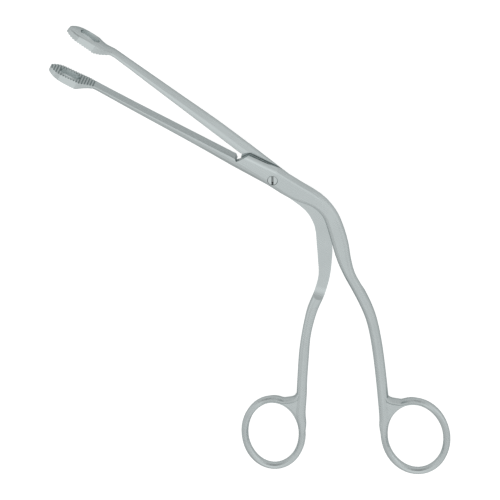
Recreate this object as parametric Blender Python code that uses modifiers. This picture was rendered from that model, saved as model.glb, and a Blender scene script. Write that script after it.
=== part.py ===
"""Catheter-introducing forceps: two crossed limbs with finger rings, half-lapped on a screw.

Metres, +Z up. The pivot axis is world Z, the back of the joint lies at Z = 0 and the
jaws point along +X. Each limb is drawn in its own frame, with the inner face of its
shank along X, and is then turned about the pivot to the pose it lies in.
"""
import math

import bmesh
import bpy
from mathutils import Vector

for old in list(bpy.data.objects):
    bpy.data.objects.remove(old, do_unlink=True)

MM = 0.001

# Pose at rest: how far each limb is turned about the pivot, degrees
FRONT_TURN = 3.8
BACK_TURN = -7.2

# Joint
LIMB_T = 5.3 * MM            # thickness over the joint
LAP_GAP = 0.3 * MM           # between the two half-thickness plates
PARTING = 1.1 * MM           # pivot axis to the inner faces of the shanks
NOTCH_R = 17.3 * MM          # pivot axis to the foot of a plate's end
PEAK_R = 14.45 * MM          # pivot axis to the peak of the front plate's end
BACK_PEAK_R = 15.0 * MM      # and of the back plate's
END_CLEAR = 0.45 * MM        # plate end to the recess it swings in
EDGE_CLEAR = 0.15 * MM       # plate edge to the rim it closes against
FRONT_EDGE = 5.6 * MM        # pivot axis to the front plate's straight edge
BACK_EDGE = 3.7 * MM         # pivot axis to the back plate's straight edge
RAMP_R = 7.0 * MM            # hollow in which a limb comes back to full thickness

# Pivot screw
SCREW_D = 3.0 * MM
HEAD_D = 4.2 * MM
HEAD_T = 1.3 * MM
SLOT_W = 0.9 * MM
SLOT_DEPTH = 0.6 * MM
SLOT_TURN = 31               # degrees from the Y axis
PUNCH_D = 0.9 * MM           # mark at the slot's end that keeps the screw from turning
PUNCH_DEPTH = 1.0 * MM
PUNCH_OUT = 1.3 * MM         # from the pivot axis
PIN_CLEAR = 0.1 * MM

# Shanks
SHANK_D = 4.7 * MM           # depth at the joint
NECK_D = 2.1 * MM            # depth behind the jaws
NECK_W = 5.2 * MM            # width behind the jaws
NECK_LEN = 7.4 * MM          # widest place of a jaw to its neck
FRONT_FULL = (-0.1 * MM, -0.25 * MM, -0.35 * MM, -0.15 * MM)    # extra depth at the quarters
BACK_FULL = (0.15 * MM, 0.27 * MM, 0.45 * MM, 0)
FACE_EDGE = 0.3 * MM         # rounding of the inner face's edges

# Jaws
FRONT_REACH = 103.6 * MM     # pivot axis to the tip
BACK_REACH = 105.4 * MM
JAW_LEN = 12.6 * MM          # tip to the widest place
JAW_W = 9.2 * MM
JAW_D = 4.1 * MM             # thickness at the widest place, in the middle of its crowned back
JAW_WALL = 3.0 * MM          # and along its sides
TIP_D = 2.1 * MM
FRONT_SET = 0.9 * MM         # jaw face behind the shank's face
BACK_SET = 3.4 * MM          # jaw face in front of the shank's face
FRONT_SLOPE = 2.0            # jaw face to the shank's face, degrees
BACK_SLOPE = 3.3
WINDOW_LEN = 8.0 * MM        # opening through a jaw
WINDOW_W = 5.2 * MM
WINDOW_FROM_TIP = 8.6 * MM   # tip to the middle of the opening
TOOTH_PITCH = 1.15 * MM
TOOTH_DEPTH = 0.35 * MM
TEETH_END = 20.0 * MM        # the grooves stop this far from the tip

# Handles and finger rings
HANDLE_W = 4.7 * MM
HANDLE_T = 4.8 * MM
FRONT_RING = (-115.94 * MM, 83.7 * MM)    # centres, each in its limb's frame
FRONT_RING_AXIS = 124.3                   # long axis, degrees
FRONT_RING_LONG = 38.1 * MM               # over the band's middle line
FRONT_RING_WIDE = 28.1 * MM
BACK_RING = (-81.3 * MM, 102.35 * MM)
BACK_RING_AXIS = 127.7
BACK_RING_LONG = 36.8 * MM
BACK_RING_WIDE = 26.2 * MM
BAND_W = 3.2 * MM
BAND_T = 3.9 * MM
RIM_W = 2.2 * MM             # raised rim from the handle over the ring's top
RIM_T = 4.7 * MM
WEB_T = 3.6 * MM             # plate between the handle and the ring's opening

# Middle of the raised rim as shares of the ring's half axes, and its share of full size
RIM_ROWS = ((-1.36, .89, .8), (-1.22, .85, .95), (-1.10, .77, 1), (-1.045, .68, 1), (-1.015, .57, 1),
            (-.995, .45, 1), (-.98, .33, 1), (-1.01, .15, 1), (-1.015, 0, 1), (-1.0, -.15, .95),
            (-.96, -.30, .9), (-.90, -.43, .85))

# Behind a jaw: share of the neck's length, and of what the face, width and thickness still have to go
FRONT_NECK = ((.12, .9, .95, .95), (.5, .2, .52, .55), (.88, -.2, .12, .12), (1.25, -.2, 0, 0))
BACK_NECK = ((.12, .99, .95, .95), (.5, .72, .55, .6), (.88, .2, .12, .16), (1.25, 0, 0, 0))

MID = LIMB_T / 2
BIG = 14 * MM
RING_STEPS = 48

parts = bpy.data.collections.new("magill_forceps")
cutters = bpy.data.collections.new("cutters")
for coll in (parts, cutters):
    bpy.context.scene.collection.children.link(coll)


def put(obj, coll):
    """Move an object into one collection only."""
    for c in list(obj.users_collection):
        c.objects.unlink(obj)
    coll.objects.link(obj)
    if coll is cutters:
        obj.hide_render = True
        obj.display_type = 'WIRE'
    return obj


def metal(name, colour, roughness):
    mat = bpy.data.materials.new(name)
    mat.use_nodes = True
    shader = mat.node_tree.nodes["Principled BSDF"]
    shader.inputs["Base Color"].default_value = (*colour, 1)
    shader.inputs["Metallic"].default_value = 1.0
    shader.inputs["Roughness"].default_value = roughness
    return mat


def mesh_of(obj, name, coll):
    """Turn a curve object into a closed mesh object."""
    graph = bpy.context.evaluated_depsgraph_get()
    mesh = bpy.data.meshes.new_from_object(obj.evaluated_get(graph))
    bm = bmesh.new()
    bm.from_mesh(mesh)
    bmesh.ops.remove_doubles(bm, verts=bm.verts, dist=1e-6)
    bmesh.ops.recalc_face_normals(bm, faces=bm.faces)
    bm.to_mesh(mesh)
    bm.free()
    new = bpy.data.objects.new(name, mesh)
    new.matrix_world = obj.matrix_world.copy()
    bpy.data.objects.remove(obj, do_unlink=True)
    return put(new, coll)


def prism(name, outline, low, high):
    """A flat outline in XY, extruded from low to high."""
    data = bpy.data.curves.new(name, 'CURVE')
    data.dimensions = '2D'
    data.fill_mode = 'BOTH'
    data.extrude = (high - low) / 2
    spline = data.splines.new('POLY')
    spline.points.add(len(outline) - 1)
    for point, (x, y) in zip(spline.points, outline):
        point.co = (x, y, 0, 1)
    spline.use_cyclic_u = True
    obj = put(bpy.data.objects.new(name + "_outline", data), cutters)
    bpy.context.view_layer.update()
    solid = mesh_of(obj, name, cutters)
    for v in solid.data.vertices:
        v.co.z += (high + low) / 2
    return solid


def boolean(obj, other, kind):
    mod = obj.modifiers.new(other.name, 'BOOLEAN')
    mod.operation = kind
    mod.solver = 'EXACT'
    mod.object = other
    other.parent = obj


def spline(rows, steps):
    """Catmull-Rom curve through rows of numbers, with the given steps to a span."""
    out = []
    for i in range(len(rows) - 1):
        p1, p2 = rows[i], rows[i + 1]
        p0 = rows[i - 1] if i else [2 * a - b for a, b in zip(p1, p2)]
        p3 = rows[i + 2] if i + 2 < len(rows) else [2 * b - a for a, b in zip(p1, p2)]
        for k in range(steps):
            t = k / steps
            out.append([0.5 * (2 * b + (c - a) * t + (2 * a - 5 * b + 4 * c - d) * t * t
                               + (3 * b - a - 3 * c + d) * t ** 3)
                        for a, b, c, d in zip(p0, p1, p2, p3)])
    out.append(list(rows[-1]))
    return out


def section(half_d, half_z, inner, outer, corner=4):
    """Rectangle with elliptical corners: (reach, rise) of the inner and the outer pair."""
    pts = []
    for sx, sz, (reach, rise) in ((1, -1, inner), (1, 1, inner), (-1, 1, outer), (-1, -1, outer)):
        reach = min(reach, 1.6 * half_d)
        rise = min(rise, half_z * 0.999)
        for k in range(corner + 1):
            a = math.pi / 2 * k / corner
            c, s = (math.sin(a), math.cos(a)) if sx * sz < 0 else (math.cos(a), math.sin(a))
            pts.append((sx * (half_d - reach + reach * c), sz * (half_z - rise + rise * s)))
    return pts


def loft(name, stations, inner_side, coll):
    """Skin sections set square to a path; a station is x, y, tx, ty, half sizes, corners."""
    bm = bmesh.new()
    loops = []
    for x, y, tx, ty, half_d, half_z, i_reach, i_rise, o_reach, o_rise in stations:
        n = Vector((-ty, tx)).normalized() * inner_side
        loops.append([bm.verts.new((x + n.x * d, y + n.y * d, MID + z)) for d, z in
                      section(half_d, half_z, (i_reach, i_rise), (o_reach, o_rise))])
    for a, b in zip(loops, loops[1:]):
        for i in range(len(a)):
            j = (i + 1) % len(a)
            bm.faces.new((a[i], a[j], b[j], b[i]))
    bm.faces.new(loops[0])
    bm.faces.new(list(reversed(loops[-1])))
    bmesh.ops.remove_doubles(bm, verts=bm.verts, dist=1e-7)
    bmesh.ops.recalc_face_normals(bm, faces=bm.faces)
    mesh = bpy.data.meshes.new(name)
    bm.to_mesh(mesh)
    bm.free()
    return put(bpy.data.objects.new(name, mesh), coll)


def turn(points, centre, angle, side=1):
    """Points given along and across an axis at an angle, from a centre, to XY."""
    c, s = math.cos(math.radians(angle)), math.sin(math.radians(angle))
    return [(centre[0] + a * c - side * b * s, centre[1] + a * s + side * b * c)
            for a, b in points]


def polar(points):
    return [(r * math.cos(math.radians(a)), r * math.sin(math.radians(a))) for r, a in points]


def sweep(name, points, width, thick, cyclic):
    """Oval bar along a flat path; a point is x, y and the share of the full size there."""
    bpy.ops.curve.primitive_bezier_circle_add(radius=0.5)
    profile = bpy.context.object
    profile.scale = (width, thick, 1)
    profile.data.resolution_u = 3
    bpy.ops.object.transform_apply(location=False, rotation=False, scale=True)
    data = bpy.data.curves.new(name, 'CURVE')
    data.dimensions = '3D'
    data.twist_mode = 'Z_UP'
    data.bevel_mode = 'OBJECT'
    data.bevel_object = profile
    data.use_fill_caps = not cyclic
    path = data.splines.new('POLY')
    path.points.add(len(points) - 1)
    for point, (x, y, size) in zip(path.points, points):
        point.co = (x, y, MID, 1)
        point.radius = size
    path.use_cyclic_u = cyclic
    obj = put(bpy.data.objects.new(name + "_path", data), cutters)
    bpy.context.view_layer.update()
    solid = mesh_of(obj, name, cutters)
    bpy.data.objects.remove(profile, do_unlink=True)
    return solid


def oval_ring(name, ring, angle, long, wide, side):
    """The finger ring's band, over its middle line."""
    turns = [2 * math.pi * k / RING_STEPS for k in range(RING_STEPS)]
    points = turn([(long / 2 * math.cos(t), wide / 2 * math.sin(t)) for t in turns], ring, angle, side)
    return sweep(name + "_ring", [(x, y, 1) for x, y in points], BAND_W, BAND_T, True)


def rim(name, ring, angle, long, wide, side):
    """Raised rim that leaves the handle's outer side in a round corner and fades into the ring."""
    fine = spline(RIM_ROWS, 3)
    points = turn([(a * long / 2, b * wide / 2) for a, b, size in fine], ring, angle, side)
    return sweep(name + "_rim", [(x, y, row[2]) for (x, y), row in zip(points, fine)], RIM_W, RIM_T, False)


def jaw_and_shank(reach, face_side, step, slope, neck, root_x, full):
    """Stations from the tip to the joint; face_side is +1 where the limb lies above its face."""
    face = -PARTING
    heel = reach - JAW_LEN
    rise = math.tan(math.radians(slope))
    rows = []

    def row(x, y_face, depth, width, edge, crown):
        rows.append([x, y_face + face_side * depth / 2, depth / 2, width / 2, edge, edge,
                     crown * depth, width / 2])

    # share of the jaw's length from the tip, of its width, and of its growth in thickness
    crown = 1 - JAW_WALL / JAW_D
    for t, w, d in ((0, .18, 0), (.03, .33, .22), (.08, .47, .36), (.16, .66, .5), (.25, .83, .6),
                    (.40, .95, .76), (.57, .98, .9), (.78, .99, .98), (1, 1, 1)):
        x = reach - t * JAW_LEN
        row(x, face + step + (x - heel) * rise, TIP_D + d * (JAW_D - TIP_D), w * JAW_W,
            0.15 * MM, crown)
    tip = len(rows)
    # the face steps back to the shank's line behind the jaw, while the width tapers
    for t, f, w, d in neck:
        width = NECK_W + w * (JAW_W - NECK_W)
        depth = NECK_D + d * (JAW_D - NECK_D)
        row(heel - t * NECK_LEN, face + f * step, depth, width, FACE_EDGE, .75 + w * (crown - .75))
    neck_x = rows[-1][0]
    for f, more in zip((.25, .5, .75, 1), full):
        x = neck_x + (root_x - neck_x) * f
        row(x, face, NECK_D + f * (SHANK_D - NECK_D) + more, NECK_W + f * (LIMB_T - NECK_W),
            FACE_EDGE, .75)
    jaw = [r[:2] + [-1, 0] + r[2:] for r in rows[:tip]]
    shank = [r[:2] + [-1, 0] + r[2:] for r in spline(rows[tip - 1:], 2)]
    shank[0] = jaw[-1]
    return jaw + shank[1:]


def joint_and_handle(head, path, ring, angle, long, wide, side):
    """Stations over the joint, down the handle and into the ring's band."""
    rows = []
    for x, low, high, reach in head:
        rows.append([x, (low + high) / 2, (high - low) / 2, MID, 1.9 * MM, 2.1 * MM,
                     reach * MM, 2.1 * MM + (reach - 1.9) * MM / 3])
    for x, y, width, thick in path:
        d, z = width * HANDLE_W / 2, HANDLE_T / 2 + thick * (LIMB_T - HANDLE_T) / 2
        rows.append([x * MM, y * MM, d, z, min(1.9 * MM, .9 * d), .85 * z, min(1.9 * MM, .9 * d), .85 * z])
    for (x, y), d in zip(turn([(-.65 * long / 2, .915 * wide / 2), (-.34 * long / 2, .985 * wide / 2),
                               (-.05 * long / 2, wide / 2)], ring, angle, side),
                         (HANDLE_W / 2, .6 * BAND_W, .42 * BAND_W)):
        z = HANDLE_T / 2
        rows.append([x, y, d, z, .9 * d, .85 * z, .9 * d, .85 * z])
    fine = spline(rows, 3)
    out = []
    for i, r in enumerate(fine):
        a, b = fine[max(i - 1, 0)], fine[min(i + 1, len(fine) - 1)]
        tx, ty = (b[0] - a[0], b[1] - a[1]) if i else (-1, 0)
        out.append(r[:2] + [tx, ty] + r[2:])
    return out


def windows(name, reach, face_side, step, slope, neck):
    """The opening through a jaw and the grooves across its face."""
    heel = reach - JAW_LEN
    rise = math.tan(math.radians(slope))
    bpy.ops.mesh.primitive_cylinder_add(vertices=24, radius=0.5, depth=BIG, rotation=(math.pi / 2, 0, 0))
    hole = put(bpy.context.object, cutters)
    hole.name = name + "_window"
    hole.scale = (WINDOW_LEN, WINDOW_W, 1)
    hole.location = (reach - WINDOW_FROM_TIP, -PARTING + step, MID)

    def face_at(x):
        if x >= heel:
            return -PARTING + step + (x - heel) * rise
        stops = ((0, 1), *(row[:2] for row in neck))
        t = (heel - x) / NECK_LEN
        for (t0, f0), (t1, f1) in zip(stops, stops[1:]):
            if t <= t1:
                return -PARTING + step * (f0 + (f1 - f0) * (t - t0) / (t1 - t0))
        return -PARTING

    saw = []
    x = reach - 0.6 * TOOTH_PITCH
    while x > reach - TEETH_END:
        f = face_at(x)
        top, bottom = f - face_side * 0.3 * TOOTH_DEPTH, f + face_side * TOOTH_DEPTH
        saw += [(x + .45 * TOOTH_PITCH, top), (x, bottom), (x - .45 * TOOTH_PITCH, top)]
        x -= TOOTH_PITCH
    outside = -face_side * 3 * MM
    saw += [(saw[-1][0], saw[-1][1] + outside), (saw[0][0], saw[0][1] + outside)]
    grooves = prism(name + "_grooves", saw, MID - JAW_W, MID + JAW_W)
    return [hole, grooves]


def ramp(name, point, direction, lap_z, up):
    """A lying cylinder that hollows the step where the lap ends."""
    bpy.ops.mesh.primitive_cylinder_add(vertices=64, radius=RAMP_R, depth=BIG)
    obj = put(bpy.context.object, cutters)
    obj.name = name + "_ramp"
    obj.rotation_euler = (math.pi / 2, 0, math.radians(direction - 90) + math.pi / 2)
    obj.location = (point[0], point[1], lap_z + up * (RAMP_R + 0.01 * MM))
    return obj


def web(name, ring, angle, long, wide, side):
    """Plate that fills the corner between the handle and the ring's first bar."""
    corner = [(-.60, .88), (-1.18, .86), *(row[:2] for row in RIM_ROWS[2:10]), (-.94, -.32)]
    local = [(a * long / 2, b * wide / 2) for a, b in corner]
    inset = 0.27 * BAND_W
    local += [((long / 2 - inset) * math.cos(t), (wide / 2 - inset) * math.sin(t)) for t in
              (math.radians(d) for d in range(200, 120, -8))]
    outline = turn(local, ring, angle, side)
    return prism(name + "_web", outline, MID - WEB_T / 2, MID + WEB_T / 2)


def limb(name, stations, inner_side, ring, angle, long, wide, side, turned, cuts, mat):
    obj = loft(name, stations, inner_side, parts)
    obj.data.materials.append(mat)
    for piece in (oval_ring, web, rim):
        boolean(obj, piece(name, ring, angle, long, wide, side), 'UNION')
    for cut in cuts:
        boolean(obj, cut, 'DIFFERENCE')
    for poly in obj.data.polygons:
        poly.use_smooth = True
    obj.data.set_sharp_from_angle(angle=math.radians(35))
    obj.rotation_euler.z = math.radians(turned)
    return obj


def bore(name, radius, low, high):
    bpy.ops.mesh.primitive_cylinder_add(vertices=48, radius=radius, depth=high - low)
    obj = put(bpy.context.object, cutters)
    obj.name = name
    obj.location.z = (high + low) / 2
    return obj


steel = metal("satin_steel", (0.56, 0.58, 0.575), 0.34)
screw_steel = metal("screw_steel", (0.50, 0.52, 0.515), 0.38)

under = MID - LAP_GAP / 2    # top of the back plate
over = MID + LAP_GAP / 2     # underside of the front plate
step_f, step_b = NOTCH_R + 0.85 * MM, NOTCH_R + 0.25 * MM
face = -PARTING

# Ends of the two lap plates, swung on the pivot: shares of the way from the notch to the peak
front_end = polar([(NOTCH_R + (PEAK_R - NOTCH_R) * f, a) for f, a in
                   ((0, .2), (.42, -5.6), (.65, -11.6), (.83, -17.7))])
front_peak = (math.sqrt(PEAK_R ** 2 - (FRONT_EDGE - 0.4 * MM) ** 2), -FRONT_EDGE + 0.4 * MM)
back_end = polar([(NOTCH_R + (BACK_PEAK_R - NOTCH_R) * f, a) for f, a in
                  ((-.06, -7.4), (.17, -2.3), (.39, 3.4), (.7, 8.8))])
back_peak = polar([(BACK_PEAK_R, 11.5)])[0]

# Rims that the plates close against
wall_f = BACK_EDGE + EDGE_CLEAR
wall_b = FRONT_EDGE + EDGE_CLEAR
close_b = PEAK_R + END_CLEAR - 0.13 * MM
front_recess = polar([(NOTCH_R + (BACK_PEAK_R - NOTCH_R) * f + END_CLEAR * c, a) for f, c, a in
                      ((.02, 0, 2.0), (.3, .5, 4.5), (.62, .8, 7.5), (.9, 1, 10.2))])
front_recess.append((front_recess[-1][0] - 0.45 * MM, front_recess[-1][1] + 0.35 * MM))

front_ramp, front_dir = (-54.8 * MM, 27.8 * MM), 143.0
back_ramp, back_dir = (-48.6 * MM, 27.65 * MM), 114.0

# Front limb: lower jaw, front plate, right handle and ring
front_stations = jaw_and_shank(FRONT_REACH, 1, FRONT_SET, FRONT_SLOPE, FRONT_NECK,
                               step_f + 0.05 * MM, FRONT_FULL)
front_stations += joint_and_handle(
    [(step_f, -FRONT_EDGE - 0.6 * MM, -PARTING + SHANK_D + FRONT_FULL[-1], 3.4),
     (0.75 * NOTCH_R, -FRONT_EDGE - 0.5 * MM, BACK_EDGE - 0.15 * MM, 3.2),
     (0.25 * NOTCH_R, -FRONT_EDGE - 0.35 * MM, BACK_EDGE, 2.8),
     (0, -FRONT_EDGE, BACK_EDGE + 0.1 * MM, 2.5),
     (-0.58 * NOTCH_R, -FRONT_EDGE + 0.85 * MM, BACK_EDGE + 0.8 * MM, 1.9)],
    [(-20.5, -.24, 1.53, 1), (-27.9, 2.3, 1.36, 1), (-33.3, 6.8, 1.45, 1), (-39.2, 13.1, 1.47, 1),
     (-44.2, 19.0, 1.27, 1), (-49.8, 24.4, 1.02, .8), (-56.5, 29.2, 1, .4), (-63.6, 34.6, 1.01, 0),
     (-69.9, 40.6, .98, 0), (-77.9, 50.6, .98, 0), (-88.0, 65.0, 1, 0)],
    FRONT_RING, FRONT_RING_AXIS, FRONT_RING_LONG, FRONT_RING_WIDE, -1)

far_f = turn([(0, BIG), (0, -BIG)], front_ramp, front_dir, -1)
front_cuts = [
    prism("front_trim", [(22 * MM, -BIG), (22 * MM, face - 0.06 * MM),
                         (NOTCH_R + 1.2 * MM, face - 0.06 * MM), *front_end, front_peak,
                         (0, -FRONT_EDGE), (-1.5 * MM, -FRONT_EDGE - 0.1 * MM), (-1.5 * MM, -BIG)],
          -BIG, LIMB_T + BIG),
    prism("front_lap", [(NOTCH_R - 0.1 * MM, -BIG), (NOTCH_R - 0.1 * MM, -0.3 * MM),
                        *front_recess, (1.8 * MM, wall_f - 0.15 * MM), (1.6 * MM, BIG), *far_f,
                        (-30 * MM, -BIG)], -BIG, over),
    ramp("front", front_ramp, front_dir, over, -1),
    bore("front_bore", SCREW_D / 2 + PIN_CLEAR, -BIG, LIMB_T + BIG),
    bore("front_sink", HEAD_D / 2 + PIN_CLEAR, LIMB_T - HEAD_T - PIN_CLEAR, LIMB_T + BIG),
] + windows("front", FRONT_REACH, 1, FRONT_SET, FRONT_SLOPE, FRONT_NECK)
front = limb("front_limb", front_stations, 1, FRONT_RING, FRONT_RING_AXIS, FRONT_RING_LONG,
             FRONT_RING_WIDE, -1, FRONT_TURN, front_cuts, steel)

# Back limb: upper jaw, back plate, left handle and ring
back_stations = jaw_and_shank(BACK_REACH, -1, BACK_SET, BACK_SLOPE, BACK_NECK,
                              step_b + 0.05 * MM, BACK_FULL)
back_stations += joint_and_handle(
    [(step_b, -PARTING - SHANK_D, BACK_EDGE + 0.9 * MM, 3.4),
     (0.46 * NOTCH_R, -PARTING - SHANK_D + 0.1 * MM, BACK_EDGE + 0.9 * MM, 3.0),
     (0, -PARTING - SHANK_D + 0.25 * MM, BACK_EDGE + 0.4 * MM, 2.5),
     (-0.29 * NOTCH_R, -PARTING - SHANK_D + 0.3 * MM, BACK_EDGE - 0.2 * MM, 2.0),
     (-0.57 * NOTCH_R, -PARTING - SHANK_D + 0.1 * MM, BACK_EDGE - 0.55 * MM, 1.9)],
    [(-21.0, -.3, 1.53, 1), (-29.6, 3.8, 1.4, 1), (-36.75, 10.9, 1.4, 1), (-41.1, 16.0, 1.28, 1),
     (-46.1, 22.6, 1.04, 1), (-49.9, 30.4, 1, .6), (-52.7, 38.5, .97, .2), (-56.3, 46.0, .89, 0),
     (-60.3, 53.0, .87, 0), (-65.0, 60.0, .945, 0), (-72.6, 70.6, .93, 0), (-77.7, 77.4, .97, 0)],
    BACK_RING, BACK_RING_AXIS, BACK_RING_LONG, BACK_RING_WIDE, 1)

far_b = turn([(0, -BIG), (0, BIG)], back_ramp, back_dir, 1)
back_cuts = [
    prism("back_trim", [(22 * MM, BIG), (22 * MM, face + 0.06 * MM),
                        (NOTCH_R + 0.6 * MM, face + 0.06 * MM), *back_end, back_peak,
                        (-0.5 * MM, BACK_EDGE), (-1.6 * MM, BACK_EDGE + 0.12 * MM),
                        (-1.6 * MM, BIG)], -BIG, MID),
    prism("back_lap", [(NOTCH_R + 0.6 * MM, BIG), (NOTCH_R + 0.6 * MM, face + 0.06 * MM),
                       (NOTCH_R - 0.9 * MM, -2.97 * MM), (close_b - 0.85 * MM, -wall_b + 0.8 * MM),
                       (1.8 * MM, -wall_b), (1.6 * MM, -BIG),
                       (-40 * MM, -8 * MM), *reversed(far_b)], under, LIMB_T + BIG),
    ramp("back", back_ramp, back_dir, under, 1),
    bore("back_bore", SCREW_D / 2 + PIN_CLEAR, -BIG, LIMB_T + BIG),
] + windows("back", BACK_REACH, -1, BACK_SET, BACK_SLOPE, BACK_NECK)
back = limb("back_limb", back_stations, -1, BACK_RING, BACK_RING_AXIS, BACK_RING_LONG,
            BACK_RING_WIDE, 1, BACK_TURN, back_cuts, steel)

# Slotted pivot screw, flush on both faces
profile = bpy.data.meshes.new("pivot_screw")
radii = [(0, LIMB_T), (HEAD_D / 2 - 0.15 * MM, LIMB_T), (HEAD_D / 2, LIMB_T - 0.15 * MM),
         (HEAD_D / 2, LIMB_T - HEAD_T), (SCREW_D / 2, LIMB_T - HEAD_T), (SCREW_D / 2, 0), (0, 0)]
profile.from_pydata([(r, 0, z) for r, z in radii], [(i, i + 1) for i in range(len(radii) - 1)], [])
screw = put(bpy.data.objects.new("pivot_screw", profile), parts)
screw.data.materials.append(screw_steel)
spin = screw.modifiers.new("turned", 'SCREW')
spin.steps = spin.render_steps = 48
spin.use_merge_vertices = True
spin.merge_threshold = 0.00001
bpy.ops.mesh.primitive_cube_add(size=1)
slot = put(bpy.context.object, cutters)
slot.name = "screw_slot"
slot.scale = (SLOT_W, 2 * HEAD_D, 2 * SLOT_DEPTH)
slot.location.z = LIMB_T
slot.rotation_euler.z = math.radians(SLOT_TURN)
boolean(screw, slot, 'DIFFERENCE')
punch = bore("screw_punch", PUNCH_D / 2, LIMB_T - PUNCH_DEPTH, LIMB_T + BIG)
punch.location.x = -PUNCH_OUT * math.sin(math.radians(SLOT_TURN))
punch.location.y = PUNCH_OUT * math.cos(math.radians(SLOT_TURN))
boolean(screw, punch, 'DIFFERENCE')
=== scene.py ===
"""Catheter-introducing forceps in satin steel, lying on a white table under soft light."""
import math

import bmesh
import bpy
from mathutils import Matrix, Vector
from mathutils.kdtree import KDTree


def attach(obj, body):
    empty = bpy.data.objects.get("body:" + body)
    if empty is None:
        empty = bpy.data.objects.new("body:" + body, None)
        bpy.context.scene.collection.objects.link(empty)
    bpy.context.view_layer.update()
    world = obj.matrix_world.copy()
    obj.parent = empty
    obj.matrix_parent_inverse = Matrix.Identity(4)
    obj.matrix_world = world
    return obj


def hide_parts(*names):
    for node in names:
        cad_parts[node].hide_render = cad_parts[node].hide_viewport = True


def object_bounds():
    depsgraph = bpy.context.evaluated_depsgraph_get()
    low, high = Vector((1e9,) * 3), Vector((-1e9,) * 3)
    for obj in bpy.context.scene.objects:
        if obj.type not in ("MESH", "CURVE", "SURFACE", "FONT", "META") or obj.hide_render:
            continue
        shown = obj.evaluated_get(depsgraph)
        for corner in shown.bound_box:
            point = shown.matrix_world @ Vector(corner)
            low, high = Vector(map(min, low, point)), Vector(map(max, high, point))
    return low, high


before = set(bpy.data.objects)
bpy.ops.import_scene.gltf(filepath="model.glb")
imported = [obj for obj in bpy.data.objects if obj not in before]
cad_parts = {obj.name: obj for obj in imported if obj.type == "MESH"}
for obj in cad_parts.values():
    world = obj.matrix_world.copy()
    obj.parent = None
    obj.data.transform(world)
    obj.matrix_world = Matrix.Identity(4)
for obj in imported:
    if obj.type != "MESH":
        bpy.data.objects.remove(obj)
cad_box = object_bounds()

MM = 0.001

# Camera, as it stood in the photograph: the point it looks at, its direction and its tilt
AIM = Vector((-10.16, 35.73, 2.65)) * MM
CAM_DISTANCE = 800 * MM
CAM_AZIMUTH = -70.85         # degrees from +X, seen from above
CAM_ELEVATION = 59.36
CAM_ROLL = 193.52
CAM_LENS = 133.95            # mm
CAM_SENSOR = 36              # mm wide
HALF_PIXEL = 0.5 / 500

FLOOR_SIZE = 8.0

# Limbs, each in its own frame, mm: what the finished edges and openings are placed by
FRONT_TURN = 3.8             # degrees about the pivot at rest
BACK_TURN = -7.2
FRONT_REACH = 103.6
BACK_REACH = 105.4
JAW_LEN = 12.6
WINDOW_FROM_TIP = 8.6
LIMB_T = 5.3

# The front plate's straight edge, which runs out of the limb's side at its first end
PLATE_EDGE = ((-3.5, -6.6), (0.0, -5.8), (4.0, -5.58), (15.2, -5.25))
EDGE_REACH = 2.2             # how far its rounding comes in
EDGE_RISE = 2.4              # and down
EDGE_STEPS = 8
OUTSIDE = 0.6                # how far the cut starts beyond the edge
ABOVE = 1.0                  # and above the plate

# Openings and ground sides of the jaws
FLARE_WIDE = (4.75, 3.35)    # half length and half width of an opening's mouth
FLARE_NARROW = (3.93, 2.53)
FLARE_STEPS = 40
FRONT_FLARE = (-0.9, 2.6)    # where along Y its mouth is wide and narrow
BACK_FLARE = (-2.6, 0.9)
SIDE_NEAR = 7.03
SIDE_FAR = -1.73
PAST_TIP = 2.0               # how far a side's cut goes on, past the tip, across, up and down
ACROSS = 12.0
UP = 12.0
DOWN = -8.0

# Shading of the finished limbs
SHARP_ANGLE = 27             # degrees between faces that meet in a crisp edge
CUT_ANGLE = 9                # the same where a cut meets the old surface
SAME_PLACE = 0.002 * MM      # a corner this near one of the CAD's counts as it
SAME_WAY = 0.998             # and its face has to look the same way
SPLIT = 1e-7                 # corners that lie apart by no more than this are one
SLIVER = 4e-6                # a cut's slivers narrower than this are closed

# Steel
EDGE_TINT = (0.55, 0.58, 0.58)    # tone at grazing angles
CLOUD_SCALE = 90
GRAIN_SCALE = 2600
BRUSH_SCALE = 1900
BRUSH_STRETCH = 0.06         # the lines are this much longer than wide
HANDLE_LAY = 125             # way the lines run on the handles, degrees from +X
LAY_TURNS = (-0.045, -0.025)      # X at which the lines go over to the shanks' own way
EDGE_RADIUS = 0.08 * MM      # over which an edge looks worn
EDGE_TURN = (0.80, 0.99)     # likeness of the rounded and the true normal, worn to unworn
CORNER_REACH = 0.5 * MM      # how far from a corner the painted shade reaches
# tone of the painted shade right in a corner
CORNER_PAINTED_SHADE = 0.85
WORN_PALER = 0.05
WORN_SMOOTHER = 0.06
ROUGH_SPREAD = 0.03
RECESS_PAINTED_SHADE = 0.08          # painted shade: tone at the bottom of the screw's slot and dot
RECESS = (4.45 * MM, 5.2 * MM)
BUMP_STRENGTH = 0.05
BUMP_HEIGHT = 0.04 * MM
GRAIN_SHARE = 0.3            # of the bump, against the brush lines

# Light from all round, and soft panels on top of it: azimuth, elevation, strength
AMBIENT = 0.40
PANELS = ((0, 90, 0.73), (0, 45, 0.17), (60, 45, 0.10), (120, 45, 0.30), (240, 45, 0.22),
          (0, 10, 0.22), (45, 10, 0.67), (135, 10, 0.46), (180, 10, 0.42), (225, 10, 0.63),
          (270, 10, 0.28))
PANEL_TIGHTNESS = 5
TABLE_ALBEDO = 0.4
TABLE_GLOW = 0.44            # what the steel sees of the table's own light
TABLE_SEEN = 0.85            # what the camera sees of it


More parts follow.
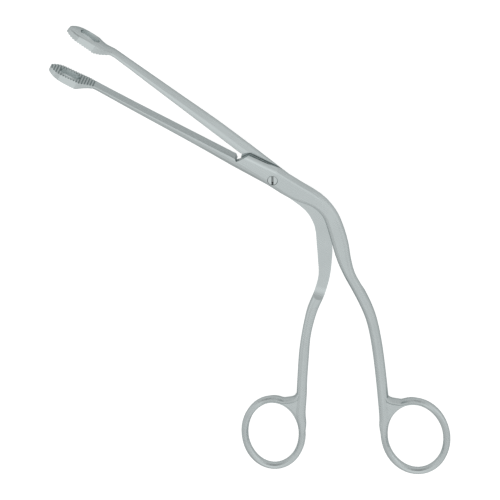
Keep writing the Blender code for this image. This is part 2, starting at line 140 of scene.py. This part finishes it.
class Nodes:
    """Short forms for wiring a node tree."""

    def __init__(self, tree):
        self.tree = tree

    def add(self, kind, **values):
        node = self.tree.nodes.new(kind)
        for key, value in values.items():
            setattr(node, key, value)
        return node

    def link(self, source, target):
        self.tree.links.new(source, target)

    def math(self, operation, a, b):
        node = self.add("ShaderNodeMath", operation=operation)
        for socket, value in zip(node.inputs, (a, b)):
            if isinstance(value, (int, float)):
                socket.default_value = value
            else:
                self.link(value, socket)
        return node.outputs[0]

    def times(self, a, b):
        return self.math('MULTIPLY', a, b)

    def plus(self, a, b):
        return self.math('ADD', a, b)

    def noise(self, vector, scale, detail=3, rough=0.5):
        node = self.add("ShaderNodeTexNoise")
        node.inputs["Scale"].default_value = scale
        node.inputs["Detail"].default_value = detail
        node.inputs["Roughness"].default_value = rough
        self.link(vector, node.inputs["Vector"])
        return node.outputs["Fac"]

    def lerp(self, factor, low, high):
        return self.plus(self.times(factor, high - low), low)

    def ramp(self, value, start, end, low, high):
        """Map start..end to low..high, held at both ends."""
        node = self.add("ShaderNodeMapRange")
        for socket, number in zip(node.inputs[1:5], (start, end, low, high)):
            socket.default_value = number
        self.link(value, node.inputs["Value"])
        return node.outputs["Result"]

    def spread(self, value, low, high):
        """Map a noise's usual range to low..high."""
        return self.ramp(value, 0.3, 0.7, low, high)


def fresh(name):
    mat = bpy.data.materials.new(name)
    mat.use_nodes = True
    mat.node_tree.nodes.clear()
    return mat, Nodes(mat.node_tree)


def brushed(n, place, angle):
    """Fine lines that run one way, at an angle from the X axis."""
    lay = n.add("ShaderNodeMapping")
    lay.inputs["Rotation"].default_value = (0, 0, math.radians(-angle))
    lay.inputs["Scale"].default_value = (BRUSH_STRETCH, 1, 1)
    n.link(place, lay.inputs["Vector"])
    return n.noise(lay.outputs[0], BRUSH_SCALE, 3, 0.6)


def satin_steel(name, dark, light, roughness, recess=None):
    """Brushed stainless steel: cloudy, with painted shade in its corners and, given a recess, towards
    the recess's bottom; paler and smoother on worn edges.
    """
    mat, n = fresh(name)
    out = n.add("ShaderNodeOutputMaterial")
    shader = n.add("ShaderNodeBsdfPrincipled")
    n.link(shader.outputs[0], out.inputs["Surface"])
    shader.inputs["Metallic"].default_value = 1.0
    shader.inputs["Specular Tint"].default_value = (*EDGE_TINT, 1)
    place = n.add("ShaderNodeTexCoord").outputs["Object"]
    split = n.add("ShaderNodeSeparateXYZ")
    n.link(place, split.inputs[0])

    cloud = n.noise(place, CLOUD_SCALE, 4)
    grain = n.noise(place, GRAIN_SCALE, 2, 0.7)
    on_shank = n.ramp(split.outputs["X"], *LAY_TURNS, 0.0, 1.0)
    on_handle = n.math('SUBTRACT', 1.0, on_shank)
    lines = n.plus(n.times(brushed(n, place, 0), on_shank),
                   n.times(brushed(n, place, HANDLE_LAY), on_handle))

    # how far the rounded normal leaves the true one tells an edge
    rounded = n.add("ShaderNodeBevel", samples=6)
    rounded.inputs["Radius"].default_value = EDGE_RADIUS
    turn = n.add("ShaderNodeVectorMath", operation='DOT_PRODUCT')
    n.link(rounded.outputs[0], turn.inputs[0])
    n.link(n.add("ShaderNodeNewGeometry").outputs["Normal"], turn.inputs[1])
    # an occlusion test: how closed in a point is sets the painted shade in corners, and keeps the worn
    # look out of them
    open_air = n.add("ShaderNodeAmbientOcclusion", samples=8)
    open_air.inputs["Distance"].default_value = CORNER_REACH
    airy = open_air.outputs["AO"]
    worn = n.times(n.ramp(turn.outputs["Value"], *EDGE_TURN, 1.0, 0.0),
                   n.ramp(airy, 0.5, 0.9, 0.0, 1.0))

    mix = n.add("ShaderNodeMix", data_type='RGBA')
    n.link(n.plus(n.spread(cloud, 0.0, 0.6), n.spread(lines, 0.0, 0.4)), mix.inputs["Factor"])
    mix.inputs["A"].default_value = (*dark, 1)
    mix.inputs["B"].default_value = (*light, 1)
    # painted shade: the colour darkens towards corners; worn edges add a little paleness
    shade = n.plus(n.ramp(airy, 0.1, 0.7, CORNER_PAINTED_SHADE, 1.0), n.times(worn, WORN_PALER))
    # painted shade: darker towards the bottom of the screw's slot and dot, by height
    if recess:
        shade = n.times(shade, n.ramp(split.outputs["Z"], *recess, RECESS_PAINTED_SHADE, 1.0))
    scaled = n.add("ShaderNodeVectorMath", operation='SCALE')
    n.link(mix.outputs["Result"], scaled.inputs[0])
    n.link(shade, scaled.inputs["Scale"])
    n.link(scaled.outputs[0], shader.inputs["Base Color"])
    rough = n.plus(n.spread(cloud, roughness - ROUGH_SPREAD, roughness + ROUGH_SPREAD),
                   n.spread(lines, -ROUGH_SPREAD, ROUGH_SPREAD))
    n.link(n.math('SUBTRACT', rough, n.times(worn, WORN_SMOOTHER)), shader.inputs["Roughness"])

    bump = n.add("ShaderNodeBump")
    bump.inputs["Strength"].default_value = BUMP_STRENGTH
    bump.inputs["Distance"].default_value = BUMP_HEIGHT
    n.link(n.plus(n.times(grain, GRAIN_SHARE), lines), bump.inputs["Height"])
    n.link(bump.outputs[0], shader.inputs["Normal"])
    return mat


def solid(name, rings, turned):
    """A closed solid for cutting with, skinned over rings of points in a limb's own frame, mm."""
    bm = bmesh.new()
    turn = Matrix.Rotation(math.radians(turned), 3, 'Z')
    loops = [[bm.verts.new(turn @ (Vector(p) * MM)) for p in ring] for ring in rings]
    for a, b in zip(loops, loops[1:]):
        for i in range(len(a)):
            j = (i + 1) % len(a)
            bm.faces.new((a[i], a[j], b[j], b[i]))
    bm.faces.new(loops[0])
    bm.faces.new(list(reversed(loops[-1])))
    bmesh.ops.recalc_face_normals(bm, faces=bm.faces)
    mesh = bpy.data.meshes.new(name)
    bm.to_mesh(mesh)
    bm.free()
    # the cut faces take the ground steel, which is paler partly as painted light
    mesh.materials.append(ground_steel_painted_light)
    obj = bpy.data.objects.new(name, mesh)
    bpy.context.scene.collection.objects.link(obj)
    return obj


def edge_round(turned):
    """What comes off the front plate's straight edge, so that it rolls over to the lap's line."""
    arc = [(EDGE_REACH * (1 - math.cos(a)), LIMB_T - EDGE_RISE * (1 - math.sin(a)))
           for a in (math.pi / 2 * k / EDGE_STEPS for k in range(EDGE_STEPS + 1))]
    outline = [(-OUTSIDE, arc[0][1]), *arc, (EDGE_REACH, LIMB_T + ABOVE), (-OUTSIDE, LIMB_T + ABOVE)]
    return solid("edge_round", [[(x, y + s, z) for s, z in outline] for x, y in PLATE_EDGE], turned)


def window_flare(name, centre, places, turned):
    """An opening's mouth, wider on the side that the eye looks into."""
    angles = [2 * math.pi * k / FLARE_STEPS for k in range(FLARE_STEPS)]
    rings = [[(centre + long * math.cos(a), y, LIMB_T / 2 + wide * math.sin(a)) for a in angles]
             for y, (long, wide) in zip(places, (FLARE_WIDE, FLARE_NARROW))]
    return solid(name, rings, turned)


def side_plane(name, reach, low, high, turned):
    """What comes off a side of a jaw, from its heel to its tip."""
    rings = [[(x, y, z) for y, z in ((-ACROSS, low), (ACROSS, low), (ACROSS, high), (-ACROSS, high))]
             for x in (reach - JAW_LEN, reach + PAST_TIP)]
    return solid(name, rings, turned)


def jaw_cuts(name, reach, places, turned):
    return [window_flare(name + "_flare", reach - WINDOW_FROM_TIP, places, turned),
            side_plane(name + "_near", reach, SIDE_NEAR, UP, turned),
            side_plane(name + "_far", reach, DOWN, SIDE_FAR, turned)]


def sharpen_cuts(mesh):
    """A crisp line where a cut meets the old surface at more than a slight angle."""
    beside = {}
    for polygon in mesh.polygons:
        for key in polygon.edge_keys:
            beside.setdefault(key, []).append(polygon)
    limit = math.cos(math.radians(CUT_ANGLE))
    for edge in mesh.edges:
        pair = beside[tuple(sorted(edge.vertices))]
        if (len(pair) == 2 and pair[0].material_index != pair[1].material_index
                and pair[0].normal.dot(pair[1].normal) < limit):
            edge.use_edge_sharp = True


def keep_normals(mesh, cad):
    """Where the old surface is as it was, it is shaded as the CAD's is."""
    tree = KDTree(len(cad.vertices))
    for vertex in cad.vertices:
        tree.insert(vertex.co, vertex.index)
    tree.balance()
    around = [[] for _ in cad.vertices]
    for polygon in cad.polygons:
        for i in polygon.loop_indices:
            pair = (polygon.normal, cad.corner_normals[i].vector)
            around[cad.loops[i].vertex_index].append(pair)
    normals = [corner.vector.copy() for corner in mesh.corner_normals]
    near = [[pair for _, i, _ in tree.find_range(vertex.co, SAME_PLACE) for pair in around[i]]
            for vertex in mesh.vertices]
    for polygon in mesh.polygons:
        for i in polygon.loop_indices:
            pairs = near[mesh.loops[i].vertex_index]
            if not pairs:
                continue
            flat, shaded = max(pairs, key=lambda pair: pair[0].dot(polygon.normal))
            if flat.dot(polygon.normal) > SAME_WAY:
                normals[i] = shaded
    mesh.normals_split_custom_set(normals)


def merge_near(mesh, distance):
    """Join corners that lie together, and take out faces with no width."""
    bm = bmesh.new()
    bm.from_mesh(mesh)
    bmesh.ops.remove_doubles(bm, verts=bm.verts, dist=distance)
    bmesh.ops.dissolve_degenerate(bm, dist=distance, edges=bm.edges)
    bm.to_mesh(mesh)
    bm.free()


def finished(node, body, cuts):
    """A limb for show, with the cuts taken off; the CAD's own stays for collision."""
    cad = bpy.data.objects[node].data
    piece = bpy.data.objects.new(node + "_finished", cad.copy())
    bpy.context.scene.collection.objects.link(piece)
    merge_near(piece.data, SPLIT)
    for cut in cuts:
        mod = piece.modifiers.new(cut.name, 'BOOLEAN')
        mod.operation = 'DIFFERENCE'
        mod.solver = 'EXACT'
        mod.material_mode = 'TRANSFER'
        mod.object = cut
    graph = bpy.context.evaluated_depsgraph_get()
    whole = bpy.data.meshes.new_from_object(piece.evaluated_get(graph))
    piece.modifiers.clear()
    merge_near(whole, SLIVER)
    piece.data = whole
    for cut in cuts:
        bpy.data.objects.remove(cut, do_unlink=True)
    for polygon in whole.polygons:
        polygon.use_smooth = True
    whole.set_sharp_from_angle(angle=math.radians(SHARP_ANGLE))
    sharpen_cuts(whole)
    keep_normals(whole, cad)
    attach(piece, body)
    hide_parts(node)


def direction(azimuth, elevation):
    """Unit vector towards an azimuth and an elevation, in degrees."""
    az, el = math.radians(azimuth), math.radians(elevation)
    return Vector((math.cos(el) * math.cos(az), math.cos(el) * math.sin(az), math.sin(el)))


def table():
    """White table top, which the steel mirrors as a calmer grey."""
    bpy.ops.mesh.primitive_plane_add(size=FLOOR_SIZE, location=(0, 0, cad_box[0][2]))
    floor = bpy.context.object
    floor.name = "table"
    mat, n = fresh("white_table")
    out = n.add("ShaderNodeOutputMaterial")
    paint = n.add("ShaderNodeBsdfDiffuse")
    paint.inputs["Color"].default_value = (TABLE_ALBEDO, TABLE_ALBEDO, TABLE_ALBEDO, 1)
    glow = n.add("ShaderNodeEmission")
    seen = n.add("ShaderNodeLightPath").outputs["Is Camera Ray"]
    n.link(n.lerp(seen, TABLE_GLOW, TABLE_SEEN), glow.inputs["Strength"])
    add = n.add("ShaderNodeAddShader")
    n.link(paint.outputs[0], add.inputs[0])
    n.link(glow.outputs[0], add.inputs[1])
    n.link(add.outputs[0], out.inputs["Surface"])
    floor.data.materials.append(mat)


def surroundings():
    """Soft light from all round, with wide panels that are a little brighter or darker."""
    world = bpy.data.worlds.new("studio")
    world.use_nodes = True
    bpy.context.scene.world = world
    n = Nodes(world.node_tree)
    world.node_tree.nodes.clear()
    out = n.add("ShaderNodeOutputWorld")
    back = n.add("ShaderNodeBackground")
    n.link(back.outputs[0], out.inputs["Surface"])
    way = n.add("ShaderNodeTexCoord").outputs["Generated"]
    level = AMBIENT
    for azimuth, elevation, strength in PANELS:
        dot = n.add("ShaderNodeVectorMath", operation='DOT_PRODUCT')
        n.link(way, dot.inputs[0])
        dot.inputs[1].default_value = direction(azimuth, elevation)
        lobe = n.math('POWER', n.math('MAXIMUM', dot.outputs["Value"], 0.0), PANEL_TIGHTNESS)
        level = n.plus(level, n.times(lobe, strength))
    n.link(level, back.inputs["Strength"])


def camera():
    """A camera on the photograph's line of sight."""
    data = bpy.data.cameras.new("camera")
    data.sensor_width = CAM_SENSOR
    data.lens = CAM_LENS
    data.shift_x = -HALF_PIXEL
    data.shift_y = HALF_PIXEL
    cam = bpy.data.objects.new("camera", data)
    bpy.context.scene.collection.objects.link(cam)
    back = direction(CAM_AZIMUTH, CAM_ELEVATION)
    right = Vector((0, 0, 1)).cross(back).normalized()
    turn = Matrix((right, back.cross(right), back)).transposed().to_4x4()
    cam.matrix_world = (Matrix.Translation(AIM + back * CAM_DISTANCE) @ turn
                        @ Matrix.Rotation(math.radians(CAM_ROLL), 4, 'Z'))
    bpy.context.scene.camera = cam


limb_steel = satin_steel("limb_satin", (0.53, 0.579, 0.581), (0.58, 0.633, 0.635), 0.27)
# paler copy of the limb steel for cut faces: a ground finish, and partly painted light that brightens
# the rounded plate edge and the jaws' cut sides
ground_steel_painted_light = satin_steel("ground_satin", (0.60, 0.655, 0.657), (0.65, 0.709, 0.711), 0.33)
screw_steel = satin_steel("screw_satin", (0.57, 0.62, 0.62), (0.62, 0.675, 0.675), 0.30, RECESS)
for node, mat in (("back_limb", limb_steel), ("front_limb", limb_steel), ("pivot_screw", screw_steel)):
    for slot in bpy.data.objects[node].material_slots:
        slot.material = mat

finished("front_limb", "front_half", [
    edge_round(FRONT_TURN), *jaw_cuts("front", FRONT_REACH, FRONT_FLARE, FRONT_TURN)])
finished("back_limb", "back_half", jaw_cuts("back", BACK_REACH, BACK_FLARE, BACK_TURN))

camera()
table()
surroundings()
bpy.context.scene.view_settings.view_transform = 'Standard'
